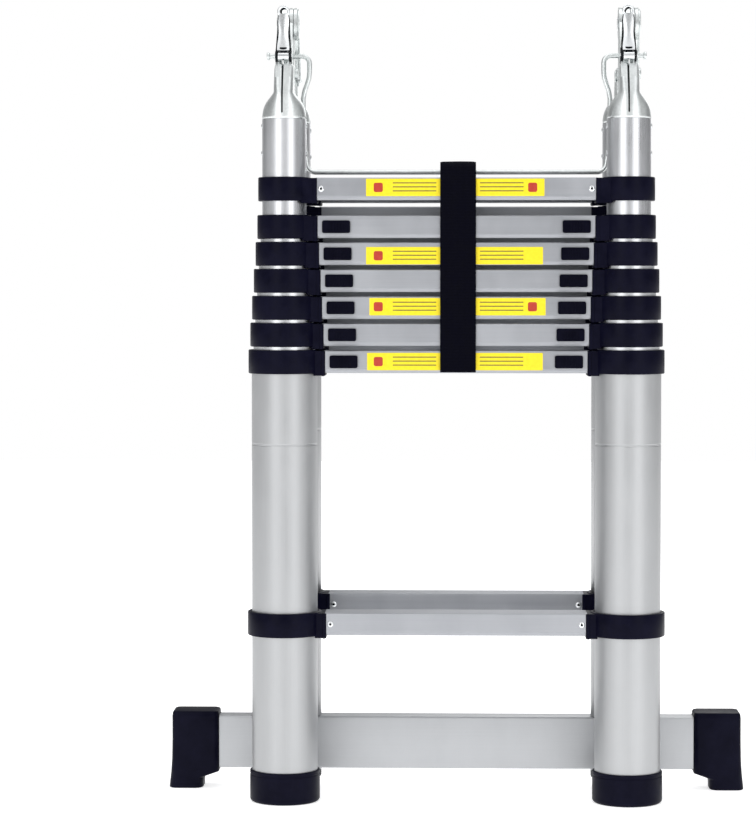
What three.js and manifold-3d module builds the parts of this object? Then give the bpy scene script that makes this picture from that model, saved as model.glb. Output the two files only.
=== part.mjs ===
// Folding telescopic ladder, stored: two halves of nested aluminium stile tubes and rungs, joined at
// the top by a pair of folding hinges, with a stabiliser bar across the feet of the rear half.
// Millimetres, +Z up. X = 0 and Y = 0 are the middle planes and Z = 0 is the floor.
// The front half stands at Y = -HALF_OFFSET. The rear half is the same design turned half a turn.
import * as THREE from "three";
import { mergeVertices } from "three/addons/utils/BufferGeometryUtils.js";
import Module from "manifold-3d";

const wasm = await Module();
wasm.setup();

// ---- driving dimensions ----
const SIDES = 12; // facets round every tube and collar, all in the same phase
const GAP = 0.3; // clearance between pieces that touch
const SECTIONS = 7;
const STILE_X = 190.7; // from the middle plane to each stile's axis
const HALF_OFFSET = 46; // from the middle plane to each half's stile axes
const REAR_LIFT = 12; // the rear half's lower six sections stand higher, on the stabiliser feet

const OUTER_TUBE_R = 36.5;
const TUBE_STEP = 2; // each tube's radius is this much less than the one around it
const TUBE_WALL = 1.4;
const FRONT_TUBE_FOOT_Z = 3.3;
const REAR_TUBE_FOOT_Z = 8.3;
const SLEEVE_LENGTH = 345; // from an inner tube's foot to the top of the collar that guides it

const FIRST_RUNG_Z = 478;
const RUNG_PITCH = 29.8; // when collapsed
const COLLAR_LAP = 0.7; // a collar runs past its rung by this much above and below
const COLLAR_WALL = 3.6;
const TOP_RUNG_Z = 668.8;
const TOP_CLAMP_WALL = 4.6;
const TOP_TUBE_Z = 759;
const LOWER_RUNG_Z = 187;
const LOWER_CLAMP_WALL = 4.8;

const RUNG_HEIGHT = 25;
const RUNG_DEPTH = 38;
const RUNG_WALL = 2;
const RUNG_CHAMFER = 1.5;
const FIRST_RUNG_HALF = 146.3; // half the length of the lowest latched rung
const RUNG_STEP = 1.64; // each rung above is longer by this much at each end
const TOP_RUNG_HALF = 155.2;
const LOWER_RUNG_HALF = 145.2;
const SOCKET_HALF_DEPTH = 20;
const SOCKET_DROP = 3; // the sockets hang this far below the rungs

const BUTTON = { length: 31, height: 14, proud: 3.2, fromEnd: 6.5, travel: 8 };
const STEM = { length: 14, height: 8, play: 0.4, fromEnd: 15 };
const PIN_R = 3;
const PIN_TIP_GAP = 0.5; // from a withdrawn latch pin to the tube that it locks

const CAP = { outerR: 39, height: 35.5, floor: 3, rounding: 4 };
const PLUG = { bottom: 0, height: 8, spigot: 2.4 };

const BAR = { halfLength: 300, bottom: 23, top: 82.5, halfDepth: 15, wall: 2 };
const FOOT = {
  front: 24, back: 68, inner: 270.5, block: 289, outer: 324.5, flare: 328, top: 88.6,
  innerBottom: 18, blockBottom: 12, flareTop: 24, chamfer: 4, endWall: 5,
};

const PIVOT_Z = 868;
const PIVOT_DISC_R = 18;
const PIVOT_PIN_R = 5;
const PIVOT_HEAD_R = 8;
const PIVOT_HEADS = [[-12.5, -9.5], [12.8, 15.3]];
const KNUCKLE_R = 43; // the arms are only plates inside this radius
const ARM_HALF_WIDTH = 11.2;
const FRONT_CHEEKS = [[-9.5, -5], [3.5, 8]];
const REAR_PLATES = [[-4.5, 3], [8.5, 12.5]];
const SPIGOT_FOOT_Z = 700;
const ARM_FOOT_Z = 759.3;
const SHELL_TOP_Z = 787;
const SHOULDER = [[0, 762], [1.7, 771], [5.1, 778], [10.5, 784.5]]; // the shell's drawing in, by height
const SEAM = { halfWidth: 1, foot: 765, deep: [60, 72] }; // between the folded edges of the front neck

// Side outlines on the arms, as pairs of distance from the middle plane and height.
const ARM_INNER_EDGE = [[21.5, 765], [21.5, 790], [9, 830]];
const ARM_OUTER_EDGE = [[46, 832], [68, 790], [70.5, 765]];
const NECK_SIDE = [[21.5, 765], [21.5, 790], [12.75, 818], [53.3, 818], [68, 790], [70.5, 765]];
const LOCK_LOBE = [[14, 812], [-4, 812], [-8, 818], [-8, 850], [14, 850]];
const EAR_FOOT = [[40, 820], [46, 834]];
const EAR_R = 5;

const RELEASE = {
  rodR: 3, legX: 170, bottomZ: 702, pinZ: 832, endX: 213, bendR: 8, travel: 8, knobR: 4.5, knobLength: 3,
};
const LEVER = {
  u: 52.5, z: 829, loopU: 42, loopZ: 878.5, loopR: 5.5, wireR: 1.6, halfWidth: 7, thick: 2.2,
  hubR: 3.4, pinR: 1.7, pinHoleR: 2.1, play: 0.4,
};
const LEVER_BACK = [[49.5, 837], [45.5, 852], [42, 866], [42, 874]]; // the spoon's back, as on the arms
const LEVER_LINK = [[50.2, 829], [49.6, 842], [51.6, 842], [55, 829]]; // from the spoon to its hub

const STRAP = {
  left: -18, right: 22, frontY: -69.4, backY: 10.6, foot: 478, top: 712, shoulder: 14, thick: 2.6,
};

// ---- materials ----
const finish = (color, roughness, metalness) =>
  new THREE.MeshStandardMaterial({ color, roughness, metalness });
const ALUMINIUM = finish(0xc3c9cf, 0.35, 1);
const PLASTIC = finish(0x12131c, 0.5, 0);
const STEEL = finish(0xd5dadd, 0.2, 1);
const WEBBING = finish(0x14151d, 0.9, 0);

// ---- solids ----

/** A closed three.js geometry as a solid that can be joined and cut. */
function solid(geometry) {
  const bare = geometry.clone();
  bare.deleteAttribute("normal");
  bare.deleteAttribute("uv");
  const merged = mergeVertices(bare, 1e-4);
  return new wasm.Manifold(new wasm.Mesh({
    numProp: 3,
    vertProperties: merged.attributes.position.array,
    triVerts: new Uint32Array(merged.index.array),
  }));
}

/** A solid as a three.js geometry. */
function geometryOf(body) {
  const mesh = body.getMesh();
  const geometry = new THREE.BufferGeometry();
  geometry.setAttribute("position", new THREE.BufferAttribute(new Float32Array(mesh.vertProperties), 3));
  geometry.setIndex(new THREE.BufferAttribute(new Uint32Array(mesh.triVerts), 1));
  geometry.computeVertexNormals();
  return geometry;
}

const join = (bodies) => bodies.reduce((whole, body) => whole.add(body));
const cut = (body, tools) => tools.reduce((whole, tool) => whole.subtract(tool), body);

/** A box given by its low and high limits along each axis. */
function box([x0, x1], [y0, y1], [z0, z1]) {
  const geometry = new THREE.BoxGeometry(x1 - x0, y1 - y0, z1 - z0);
  return solid(geometry.translate((x0 + x1) / 2, (y0 + y1) / 2, (z0 + z1) / 2));
}

/** A profile of [radius, height] pairs turned about the vertical axis through (x, y). */
function turned(profile, x, y, sides = SIDES) {
  const points = profile.map(([r, z]) => new THREE.Vector2(r, z));
  return solid(new THREE.LatheGeometry(points, sides).rotateX(Math.PI / 2).translate(x, y, 0));
}

/** A plain upright cylinder on the axis through (x, y). */
const post = (r, [z0, z1], x, y, sides = SIDES) => turned([[0, z0], [r, z0], [r, z1], [0, z1]], x, y, sides);

/** A cylinder along X through the point (y, z). */
function rod(r, [x0, x1], y, z, sides = 8) {
  const geometry = new THREE.CylinderGeometry(r, r, x1 - x0, sides);
  return solid(geometry.rotateZ(Math.PI / 2).translate((x0 + x1) / 2, y, z));
}

/** An outline in the YZ plane made solid from x0 to x1. */
function slabX(outline, [x0, x1], hole = null) {
  const shape = new THREE.Shape(outline.map(([y, z]) => new THREE.Vector2(y, z)));
  if (hole) shape.holes.push(new THREE.Path(hole.map(([y, z]) => new THREE.Vector2(y, z))));
  const geometry = new THREE.ExtrudeGeometry(shape, { depth: x1 - x0, bevelEnabled: false });
  const basis = new THREE.Matrix4().makeBasis(
    new THREE.Vector3(0, 1, 0), new THREE.Vector3(0, 0, 1), new THREE.Vector3(1, 0, 0));
  return solid(geometry.applyMatrix4(basis).translate(x0, 0, 0));
}

/** An outline in the XZ plane made solid from y0 to y1. */
function slabY(outline, [y0, y1]) {
  const shape = new THREE.Shape(outline.map(([x, z]) => new THREE.Vector2(x, z)));
  const geometry = new THREE.ExtrudeGeometry(shape, { depth: y1 - y0, bevelEnabled: false });
  return solid(geometry.rotateX(Math.PI / 2).translate(0, y1, 0));
}

/** Points along an arc, from one angle in degrees to another. */
function arc(u, v, r, from, to, steps) {
  return Array.from({ length: steps + 1 }, (_, i) => {
    const angle = THREE.MathUtils.degToRad(from + ((to - from) * i) / steps);
    return [u + r * Math.cos(angle), v + r * Math.sin(angle)];
  });
}

// ---- sizes that follow from the driving dimensions; section 1 is the outermost ----
const tubeR = (i) => OUTER_TUBE_R - TUBE_STEP * (i - 1);
const boreR = (i) => tubeR(i) - TUBE_WALL;
const isTop = (i) => i === SECTIONS;
const ringR = (i) => tubeR(i) + (isTop(i) ? TOP_CLAMP_WALL : COLLAR_WALL);
const rungHalf = (i) => (isTop(i) ? TOP_RUNG_HALF : FIRST_RUNG_HALF + RUNG_STEP * (i - 1));
const rungZ = (i) => (isTop(i) ? TOP_RUNG_Z : FIRST_RUNG_Z + RUNG_PITCH * (i - 1));
const collarTopZ = (z) => z + RUNG_HEIGHT + COLLAR_LAP;
const topSlack = TOP_RUNG_Z - (FIRST_RUNG_Z + RUNG_PITCH * (SECTIONS - 1));
const tubeFootZ = (i) => collarTopZ(rungZ(i - 1)) - SLEEVE_LENGTH + (isTop(i) ? topSlack : 0);
const SIDE_SIGNS = [-1, 1];

// ---- the sections, drawn for the front half on the axis plane Y = 0 of their own ----

/** The hollow rung extrusion with its lower edges bevelled. */
function rungBar(half, z) {
  const y = RUNG_DEPTH / 2;
  const top = z + RUNG_HEIGHT;
  const c = RUNG_CHAMFER;
  const outline = [
    [-y + c, z], [y - c, z], [y, z + c], [y, top - c],
    [y - c, top], [-y + c, top], [-y, top - c], [-y, z + c],
  ];
  const w = RUNG_WALL;
  const hollow = [[-y + w, z + w], [y - w, z + w], [y - w, top - w], [-y + w, top - w]];
  return slabX(outline, [-half, half], hollow);
}

/** The block that holds one end of a rung against its ring, hollowed to fit round the tube. */
function socket(side, half, z, ringOuterR, ringBoreR) {
  const reach = STILE_X - Math.sqrt(ringOuterR ** 2 - SOCKET_HALF_DEPTH ** 2) + COLLAR_WALL / 2;
  const span = side < 0 ? [-reach, -half + RUNG_WALL] : [half - RUNG_WALL, reach];
  const depth = [-SOCKET_HALF_DEPTH, SOCKET_HALF_DEPTH];
  const heights = [z - SOCKET_DROP, z + RUNG_HEIGHT - GAP];
  const clear = post((ringOuterR + ringBoreR) / 2, [z - RUNG_HEIGHT, z + 2 * RUNG_HEIGHT], side * STILE_X, 0);
  return box(span, depth, heights).subtract(clear);
}

/** A plain ring round a stile. */
function ring(outerR, innerR, z, side) {
  const [low, top] = [z - COLLAR_LAP, collarTopZ(z)];
  const profile = [[innerR, low], [outerR, low], [outerR, top], [innerR, top], [innerR, low]];
  return turned(profile, side * STILE_X, 0);
}

/** One inner tube with its collar at the top; the seventh tube runs on through its clamp. */
function tubeWithCollar(i, side) {
  const [bore, r, outer] = [boreR(i), tubeR(i), ringR(i)];
  const [foot, z, top] = [tubeFootZ(i), rungZ(i) - COLLAR_LAP, collarTopZ(rungZ(i))];
  const profile = [[bore, foot], [r, foot], [r, z], [outer, z], [outer, top]];
  if (isTop(i)) profile.push([r, top], [r, TOP_TUBE_Z], [bore, TOP_TUBE_Z]);
  else profile.push([bore, top]);
  profile.push(profile[0]);
  return turned(profile, side * STILE_X, 0);
}

/** The hole for a latch pin, from a rung's hollow through its socket, ring and tube. */
function pinHole(i, side) {
  const [from, to] = [rungHalf(i) - 2 * RUNG_WALL, STILE_X - boreR(i) + TUBE_WALL];
  return rod(PIN_R + STEM.play, side < 0 ? [-to, -from] : [from, to], 0, rungZ(i) + RUNG_HEIGHT / 2);
}

/** What is cut from a latched rung at one end: the button's slot and the latch pin's hole. */
function latchCuts(i, side) {
  const half = rungHalf(i);
  const middle = rungZ(i) + RUNG_HEIGHT / 2;
  const slotOut = half - STEM.fromEnd + STEM.play;
  const slotIn = half - STEM.fromEnd - STEM.length - BUTTON.travel - STEM.play;
  const halfHeight = STEM.height / 2 + STEM.play;
  const across = side < 0 ? [-slotOut, -slotIn] : [slotIn, slotOut];
  const face = -RUNG_DEPTH / 2;
  const slot = box(across, [face - 1, face + RUNG_WALL + 1], [middle - halfHeight, middle + halfHeight]);
  return [slot, pinHole(i, side)];
}

/** A small drain hole under a rung with no latch, which opens its hollow. */
const drain = (z) => box([-4, 4], [-4, 4], [z - 1, z + RUNG_WALL + 1]);

/** The lowest latched rung with its two collars, clamped round the outer tubes. */
function firstRung() {
  const [half, z, bore] = [rungHalf(1), rungZ(1), tubeR(1) + GAP];
  const bodies = [rungBar(half, z)];
  for (const side of SIDE_SIGNS) {
    bodies.push(ring(ringR(1), bore, z, side), socket(side, half, z, ringR(1), bore));
  }
  return cut(join(bodies), SIDE_SIGNS.flatMap((side) => latchCuts(1, side)));
}

/** The fixed rung near the floor with its two clamps. */
function lowerRung() {
  const [half, z, bore, outer] = [LOWER_RUNG_HALF, LOWER_RUNG_Z, tubeR(1) + GAP, tubeR(1) + LOWER_CLAMP_WALL];
  const bodies = [rungBar(half, z)];
  for (const side of SIDE_SIGNS) {
    bodies.push(ring(outer, bore, z, side), socket(side, half, z, outer, bore));
  }
  return join(bodies).subtract(drain(z));
}

/** A sliding section: two tubes, two collars and the rung between them. */
function slidingSection(i) {
  const [half, z] = [rungHalf(i), rungZ(i)];
  const bodies = [rungBar(half, z)];
  for (const side of SIDE_SIGNS) {
    bodies.push(tubeWithCollar(i, side), socket(side, half, z, ringR(i), boreR(i)));
  }
  const cuts = isTop(i) ? [drain(z)] : SIDE_SIGNS.flatMap((side) => latchCuts(i, side));
  return cut(join(bodies), cuts);
}

/** An outer tube; the rear ones have a window right through for the stabiliser bar. */
function outerTube(side, footZ, hasWindow) {
  const [bore, r, top] = [boreR(1), tubeR(1), collarTopZ(rungZ(1)) - 1];
  const profile = [[bore, footZ], [r, footZ], [r, top], [bore, top], [bore, footZ]];
  const tube = turned(profile, side * STILE_X, 0).subtract(pinHole(1, side));
  if (!hasWindow) return tube;
  const depth = BAR.halfDepth + GAP;
  const heights = [BAR.bottom - GAP - REAR_LIFT, BAR.top + GAP - REAR_LIFT];
  return tube.subtract(box([side * STILE_X - 2 * r, side * STILE_X + 2 * r], [-depth, depth], heights));
}

/** The moulded foot cap over an outer tube of the front half. */
function footCap(side) {
  const [r, h] = [CAP.outerR, CAP.height];
  const bore = tubeR(1) + GAP;
  const c = CAP.rounding;
  const profile = [
    [0, 0], [r - c, 0], [r - c / 4, c / 4], [r, c], [r, h], [bore, h], [bore, CAP.floor], [0, CAP.floor],
  ];
  return turned(profile, side * STILE_X, 0);
}

/** The plug in the foot of an outer tube of the rear half. */
function footPlug(side) {
  const [r, spigotR] = [tubeR(1), boreR(1) - GAP];
  const shoulder = PLUG.bottom + PLUG.height;
  const profile = [[0, PLUG.bottom], [r, PLUG.bottom], [r, shoulder], [spigotR, shoulder]];
  profile.push([spigotR, shoulder + PLUG.spigot], [0, shoulder + PLUG.spigot]);
  return turned(profile, side * STILE_X, 0);
}

/** A release button with its stem, carriage and latch pin. */
function button(i, side) {
  const half = rungHalf(i);
  const middle = rungZ(i) + RUNG_HEIGHT / 2;
  const face = -RUNG_DEPTH / 2;
  const across = (a, b) => (side < 0 ? [-b, -a] : [a, b]);
  const cover = half - BUTTON.fromEnd;
  const stemOut = half - STEM.fromEnd;
  const tall = (h) => [middle - h / 2, middle + h / 2];
  const tip = STILE_X - tubeR(i + 1) - PIN_TIP_GAP;
  return join([
    box(across(cover - BUTTON.length, cover), [face - GAP - BUTTON.proud, face - GAP], tall(BUTTON.height)),
    box(across(stemOut - STEM.length, stemOut), [face - GAP - 1, PIN_R + 1], tall(STEM.height)),
    rod(PIN_R, across(stemOut - 1, tip), 0, middle),
  ]);
}

// ---- stabiliser ----

function stabiliserBar() {
  const [d, w] = [BAR.halfDepth, BAR.wall];
  const y = HALF_OFFSET;
  const loop = (inset) => {
    const [low, high] = [BAR.bottom + inset, BAR.top - inset];
    return [[y - d + inset, low], [y + d - inset, low], [y + d - inset, high], [y - d + inset, high]];
  };
  return slabX(loop(0), [-BAR.halfLength, BAR.halfLength], loop(w));
}

/** A moulded end foot: an upper housing round the bar's end and a block that reaches the floor. */
function stabiliserFoot(side) {
  const outline = [
    [FOOT.inner, FOOT.innerBottom], [FOOT.block, FOOT.blockBottom], [FOOT.block, 0], [FOOT.flare, 0],
    [FOOT.outer, FOOT.flareTop], [FOOT.outer, FOOT.top - FOOT.chamfer],
    [FOOT.outer - FOOT.chamfer, FOOT.top], [FOOT.inner, FOOT.top],
  ].map(([x, z]) => [side * x, z]);
  const pocketEnd = BAR.halfLength + GAP;
  const mouth = FOOT.inner - FOOT.endWall;
  const pocketX = side < 0 ? [-pocketEnd, -mouth] : [mouth, pocketEnd];
  const depth = BAR.halfDepth + GAP;
  const pocket = box(pocketX, [HALF_OFFSET - depth, HALF_OFFSET + depth], [BAR.bottom - GAP, BAR.top + GAP]);
  return slabY(outline, [FOOT.front, FOOT.back]).subtract(pocket);
}

// ---- hinges, drawn about X = 0; u is the distance from the middle plane towards the arm's half ----

/** Outline points turned towards the front half (-1) or the rear half (1). */
const facing = (sign, points) => points.map(([u, z]) => [sign * u, z]);

/** The side outline of an arm, from the shell up to the disc round the pivot. */
function armOutline(sign) {
  const disc = arc(0, PIVOT_Z, PIVOT_DISC_R, -80, -360, 12);
  return facing(sign, [...ARM_INNER_EDGE, ...disc, ...ARM_OUTER_EDGE]);
}

/** The round shell that sits on the tube, drawn in to the neck, and its spigot inside the tube. */
function armShell(sign) {
  const r = tubeR(SECTIONS);
  const y = sign * HALF_OFFSET;
  const edge = [[r, ARM_FOOT_Z], ...SHOULDER.map(([inset, z]) => [r - inset, z])];
  edge.push([ARM_HALF_WIDTH, SHELL_TOP_Z]);
  const shoulders = [...edge, ...facing(-1, edge).reverse()];
  const shell = post(r, [ARM_FOOT_Z, SHELL_TOP_Z], 0, y).intersect(slabY(shoulders, [y - 2 * r, y + 2 * r]));
  return shell.add(post(boreR(SECTIONS) - GAP, [SPIGOT_FOOT_Z, ARM_FOOT_Z + 1], 0, y));
}

/** The front arm: two cheeks round the rear arm's plate, the pivot pin, and the lever's ears. */
function frontArm() {
  const knuckle = rod(KNUCKLE_R, [FRONT_CHEEKS[0][1], FRONT_CHEEKS[1][0]], 0, PIVOT_Z, 16);
  const neck = slabX(facing(-1, NECK_SIDE), [-ARM_HALF_WIDTH, ARM_HALF_WIDTH]);
  const cheeks = slabX(armOutline(-1), [FRONT_CHEEKS[0][0], FRONT_CHEEKS[1][1]]).subtract(knuckle);
  const ear = [...facing(-1, EAR_FOOT), ...arc(-LEVER.u, LEVER.z, EAR_R, 60, 250, 4)];
  const bodies = [armShell(-1), neck, cheeks];
  for (const cheek of FRONT_CHEEKS) bodies.push(slabX(facing(-1, LOCK_LOBE), cheek), slabX(ear, cheek));
  bodies.push(rod(PIVOT_PIN_R, [PIVOT_HEADS[0][0], PIVOT_HEADS[1][1]], 0, PIVOT_Z));
  for (const head of PIVOT_HEADS) bodies.push(rod(PIVOT_HEAD_R, head, 0, PIVOT_Z, 12));
  const slotHalf = RELEASE.rodR + STEM.play;
  const through = [-2 * ARM_HALF_WIDTH, 2 * ARM_HALF_WIDTH];
  const slot = box(through, [-slotHalf, slotHalf],
    [RELEASE.pinZ - RELEASE.travel - slotHalf, RELEASE.pinZ + slotHalf]);
  const { halfWidth, foot, deep: [near, far] } = SEAM;
  const seam = box([-halfWidth, halfWidth], [-far, -near], [foot, NECK_SIDE[2][1]]);
  return cut(join(bodies), [slot, seam, rod(LEVER.pinHoleR, through, -LEVER.u, LEVER.z)]);
}

/** The rear arm: one plate between the front arm's cheeks and one outside them. */
function rearArm() {
  const outline = armOutline(1);
  const width = [-ARM_HALF_WIDTH, REAR_PLATES[1][1]];
  const through = [-2 * ARM_HALF_WIDTH, 2 * ARM_HALF_WIDTH];
  const knuckle = rod(KNUCKLE_R, through, 0, PIVOT_Z, 16);
  const bodies = [armShell(1), slabX(outline, width).subtract(knuckle)];
  for (const plate of REAR_PLATES) bodies.push(slabX(outline, plate));
  return join(bodies).subtract(rod(PIVOT_PIN_R + STEM.play, through, 0, PIVOT_Z));
}

/** The release lever: a spoon with a finger loop at the top, on its own pin at the foot. */
function releaseLever() {
  const middle = (FRONT_CHEEKS[0][1] + FRONT_CHEEKS[1][0]) / 2;
  const spread = [middle - LEVER.halfWidth, middle + LEVER.halfWidth];
  const inside = [FRONT_CHEEKS[0][1] + LEVER.play, FRONT_CHEEKS[1][0] - LEVER.play];
  const back = facing(-1, LEVER_BACK);
  const front = back.map(([y, z]) => [y - LEVER.thick, z]).reverse();
  const loop = new THREE.TorusGeometry(LEVER.loopR, LEVER.wireR, 6, 12).rotateX(Math.PI / 2)
    .translate(middle, -LEVER.loopU - LEVER.thick / 2, LEVER.loopZ);
  return join([
    slabX([...back, ...front], spread),
    slabX(facing(-1, LEVER_LINK), inside),
    solid(loop),
    rod(LEVER.hubR, inside, -LEVER.u, LEVER.z),
    rod(LEVER.pinR, [FRONT_CHEEKS[0][0] - 1, FRONT_CHEEKS[1][1] + 1], -LEVER.u, LEVER.z),
  ]);
}

/** A straight stretch of round rod between two points in the plane Y = 0. */
function rodBetween([x0, z0], [x1, z1]) {
  const length = Math.hypot(x1 - x0, z1 - z0);
  const geometry = new THREE.CylinderGeometry(RELEASE.rodR, RELEASE.rodR, length, 8).rotateX(Math.PI / 2);
  geometry.rotateY(Math.atan2(x1 - x0, z1 - z0));
  return solid(geometry.translate((x0 + x1) / 2, 0, (z0 + z1) / 2));
}

/** The U-shaped rod that draws both hinge locks down, with its ends turned out as lock pins. */
function releaseBar() {
  const { rodR, legX, bottomZ, pinZ, endX, bendR, knobR, knobLength } = RELEASE;
  const bodies = [rodBetween([-legX + bendR - 1, bottomZ], [legX - bendR + 1, bottomZ])];
  for (const side of SIDE_SIGNS) {
    const corner = (x, z, dx, dz) => {
      const curve = new THREE.QuadraticBezierCurve3(
        new THREE.Vector3(side * (x + dx), 0, z), new THREE.Vector3(side * x, 0, z),
        new THREE.Vector3(side * x, 0, z + dz));
      const section = new THREE.Shape(arc(0, 0, rodR, 0, 315, 7).map(([a, b]) => new THREE.Vector2(a, b)));
      return solid(new THREE.ExtrudeGeometry(section, { steps: 6, extrudePath: curve }));
    };
    bodies.push(corner(legX, bottomZ, -bendR, bendR), corner(legX, pinZ, bendR, -bendR));
    bodies.push(rodBetween([side * legX, bottomZ + bendR - 1], [side * legX, pinZ - bendR + 1]));
    bodies.push(rodBetween([side * (legX + bendR - 1), pinZ], [side * (endX - 1), pinZ]));
    bodies.push(rod(knobR, side < 0 ? [-endX, knobLength - endX] : [endX - knobLength, endX], 0, pinZ));
  }
  return join(bodies);
}

/** The carrying strap, hung over the top rung and the release bar, in front and between the halves. */
function strap() {
  const { frontY, backY, foot, top, shoulder, thick, left, right } = STRAP;
  const legTop = top - shoulder;
  const outer = [[frontY, foot], [frontY, legTop], ...arc(frontY + shoulder, legTop, shoulder, 165, 90, 3)];
  outer.push(...arc(backY - shoulder, legTop, shoulder, 90, 15, 3), [backY, legTop], [backY, foot]);
  const innerR = shoulder - thick;
  const inner = [[backY - thick, foot], [backY - thick, legTop]];
  inner.push(...arc(backY - shoulder, legTop, innerR, 15, 90, 3));
  inner.push(...arc(frontY + shoulder, legTop, innerR, 90, 165, 3));
  inner.push([frontY + thick, legTop], [frontY + thick, foot]);
  return slabX([...outer, ...inner], [left, right]);
}

// ---- the assembly ----

function named(name, body, material) {
  const mesh = new THREE.Mesh(geometryOf(body), material);
  mesh.name = name;
  return mesh;
}

/** One half: sections 1 to 6 in a group that may be lifted, and section 7, level on both halves. */
function ladderHalf(half) {
  const isRear = half === "rear";
  const group = new THREE.Group();
  group.rotation.z = isRear ? Math.PI : 0;
  group.position.y = isRear ? HALF_OFFSET : -HALF_OFFSET;
  const lower = new THREE.Group();
  lower.position.z = isRear ? REAR_LIFT : 0;
  const sideName = (side) => (side < 0 === isRear ? "right" : "left");
  lower.add(named(`${half}_lower_rung`, lowerRung(), ALUMINIUM));
  lower.add(named(`${half}_rung_1`, firstRung(), ALUMINIUM));
  for (const side of SIDE_SIGNS) {
    const end = sideName(side);
    const tube = outerTube(side, isRear ? REAR_TUBE_FOOT_Z : FRONT_TUBE_FOOT_Z, isRear);
    lower.add(named(`${half}_tube_1_${end}`, tube, ALUMINIUM));
    lower.add(named(`${half}_cap_${end}`, isRear ? footPlug(side) : footCap(side), PLASTIC));
    for (let i = 1; i < SECTIONS; i++) {
      lower.add(named(`${half}_button_${i}_${end}`, button(i, side), PLASTIC));
    }
  }
  for (let i = 2; i < SECTIONS; i++) lower.add(named(`${half}_section_${i}`, slidingSection(i), ALUMINIUM));
  group.add(lower, named(`${half}_section_${SECTIONS}`, slidingSection(SECTIONS), ALUMINIUM));
  return group;
}

const ladder = new THREE.Group();
ladder.add(ladderHalf("front"), ladderHalf("rear"));
ladder.add(named("stabiliser_bar", stabiliserBar(), ALUMINIUM));
for (const side of SIDE_SIGNS) {
  const end = side < 0 ? "left" : "right";
  ladder.add(named(`stabiliser_foot_${end}`, stabiliserFoot(side), PLASTIC));
  const hinge = new THREE.Group();
  hinge.position.x = side * STILE_X;
  hinge.add(named(`hinge_front_arm_${end}`, frontArm(), STEEL));
  hinge.add(named(`hinge_rear_arm_${end}`, rearArm(), STEEL));
  hinge.add(named(`release_lever_${end}`, releaseLever(), STEEL));
  ladder.add(hinge);
}
ladder.add(named("release_bar", releaseBar(), STEEL), named("strap", strap(), WEBBING));

export default ladder;
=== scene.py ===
"""Folding telescopic ladder, stored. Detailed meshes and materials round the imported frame.
Sizes are in millimetres and become metres when a mesh is made."""
import math

import bmesh
import bpy
from mathutils import Matrix, Vector


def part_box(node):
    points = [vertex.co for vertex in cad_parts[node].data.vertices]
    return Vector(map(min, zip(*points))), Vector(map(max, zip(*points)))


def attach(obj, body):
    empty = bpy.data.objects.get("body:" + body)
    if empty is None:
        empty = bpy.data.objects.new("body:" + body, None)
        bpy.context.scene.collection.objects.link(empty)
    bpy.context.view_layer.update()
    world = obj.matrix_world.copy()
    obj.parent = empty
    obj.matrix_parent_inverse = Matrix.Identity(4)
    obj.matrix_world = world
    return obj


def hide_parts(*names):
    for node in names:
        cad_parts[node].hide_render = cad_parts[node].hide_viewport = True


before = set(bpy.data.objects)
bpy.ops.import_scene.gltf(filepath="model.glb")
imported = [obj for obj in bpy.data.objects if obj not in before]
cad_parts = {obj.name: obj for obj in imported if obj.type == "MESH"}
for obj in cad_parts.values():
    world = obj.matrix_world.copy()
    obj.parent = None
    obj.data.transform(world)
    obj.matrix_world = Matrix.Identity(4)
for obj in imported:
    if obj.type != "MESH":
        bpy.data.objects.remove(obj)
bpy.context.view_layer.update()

MM = 0.001
SIDES = (-1, 1)
HALVES = ("front", "rear")
SECTIONS = 7

# ---- driving dimensions, as in the frame ----
STILE_X = 190.7
HALF_OFFSET = 46
REAR_LIFT = 12
OUTER_TUBE_R = 36.5
TUBE_STEP = 2  # each tube's radius is this much less than the one around it
TUBE_WALL = 1.4
TOP_TUBE_ABOVE = 90.2  # from the top rung's lower face to the top of the innermost tube
ROLLED_RING_Z = 398.7
FIT = 0.3  # clearance between a tube and what is moulded round or into it
RING_WALL = 3.6
TOP_RING_WALL = 4.6
LOWER_RING_WALL = 4.8
RUNG_HEIGHT = 25
RING_LAP = 0.7  # a ring runs past its rung by this much above and below
RUNG_DEPTH = 38
FIRST_RUNG_HALF = 146.3
RUNG_STEP = 1.64  # each rung above is longer by this much at each end
TOP_RUNG_HALF = 155.2
LOWER_RUNG_HALF = 145.2
SOCKET_HALF_DEPTH = 20
SOCKET_DROP = 3
LABEL_HEIGHT = 19.2
LABELS = {  # by rung: left end, right end, height above the rung's foot, whether both ends are marked
    1: (-98.3, 95.5, 3.2, False), 3: (-95.8, 98.5, 4.2, True), 5: (-99.5, 95.5, 0.8, False),
    SECTIONS: (-99.5, 97, 4.4, True),
}
BUTTON_CAP = {"length": 31, "height": 14, "proud": 3.2, "from_end": 6.5}
STEM_FROM_END = 15
STEM_LENGTH = 14
STEM_HALF_HEIGHT = 4
LATCH_PIN_R = 3
PIN_TIP_GAP = 0.5  # from a withdrawn latch pin to the tube that it locks
FRONT_CAP_R = 39
FRONT_CAP_HEIGHT = 35.5
PIVOT_Z = 868
DISC_R = 17.9
ROUND = 96  # facets round a tube
SHARP_ANGLE = 34  # degrees: an edge that turns more than this is shown as an edge


def tube_r(i):
    return OUTER_TUBE_R - TUBE_STEP * (i - 1)


def ring_r(i):
    return tube_r(i) + (TOP_RING_WALL if i == SECTIONS else RING_WALL)


def rung_half(i):
    return TOP_RUNG_HALF if i == SECTIONS else FIRST_RUNG_HALF + RUNG_STEP * (i - 1)


def section_node(half, i):
    return f"{half}_rung_1" if i == 1 else f"{half}_section_{i}"


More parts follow.
